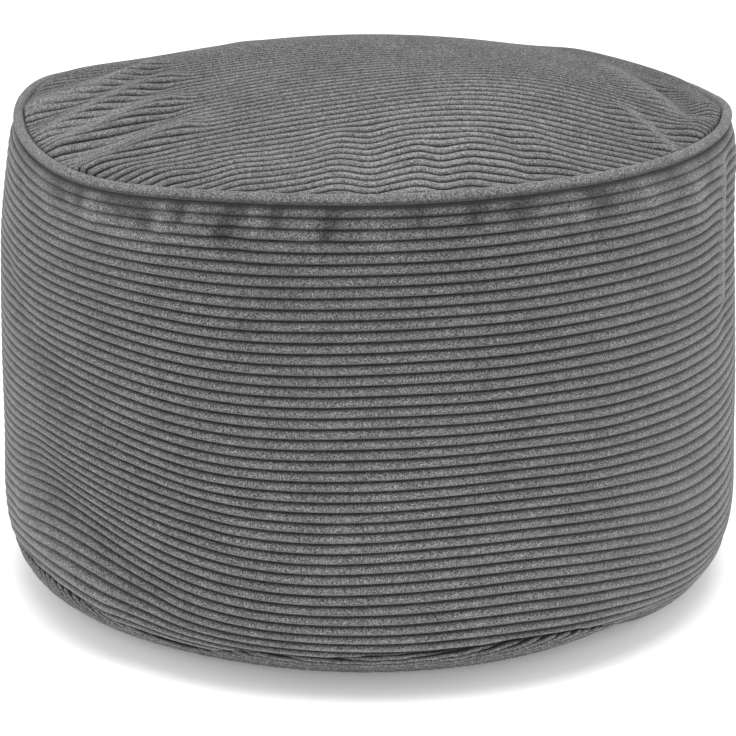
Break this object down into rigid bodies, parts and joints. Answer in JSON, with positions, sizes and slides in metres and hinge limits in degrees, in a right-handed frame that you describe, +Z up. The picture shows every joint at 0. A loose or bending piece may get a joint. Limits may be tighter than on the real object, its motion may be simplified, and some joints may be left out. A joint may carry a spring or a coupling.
{
  "type": "bean bag footstool",
  "caption": "Round bean bag footstool in wide-ribbed corduroy: a crowned top panel, a piped top seam, a side band with level ribs and a flat-resting base panel.",
  "frame": {"origin": "middle of the flat base, on the surface that the footstool stands on", "axes": "+Z up through the crown, -Y to the front as pictured, +X to the right as seen from the front"},
  "size_m": [0.5001, 0.5002, 0.3645],
  "materials": {
    "base_corduroy": "matte corduroy, mid grey, its ribs pressed where it rests",
    "side_corduroy": "matte wide-ribbed corduroy, mid grey, soft velvety pile",
    "top_corduroy": "matte wide-ribbed corduroy, mid grey, soft velvety pile",
    "piping_cloth": "matte brushed cloth, mid grey, stretched over a cord"
  },
  "bodies": {
    "root": {"base_panel": "base_corduroy", "side_band": "side_corduroy", "top_panel": "top_corduroy", "top_piping": "piping_cloth"}
  },
  "joints": []
}
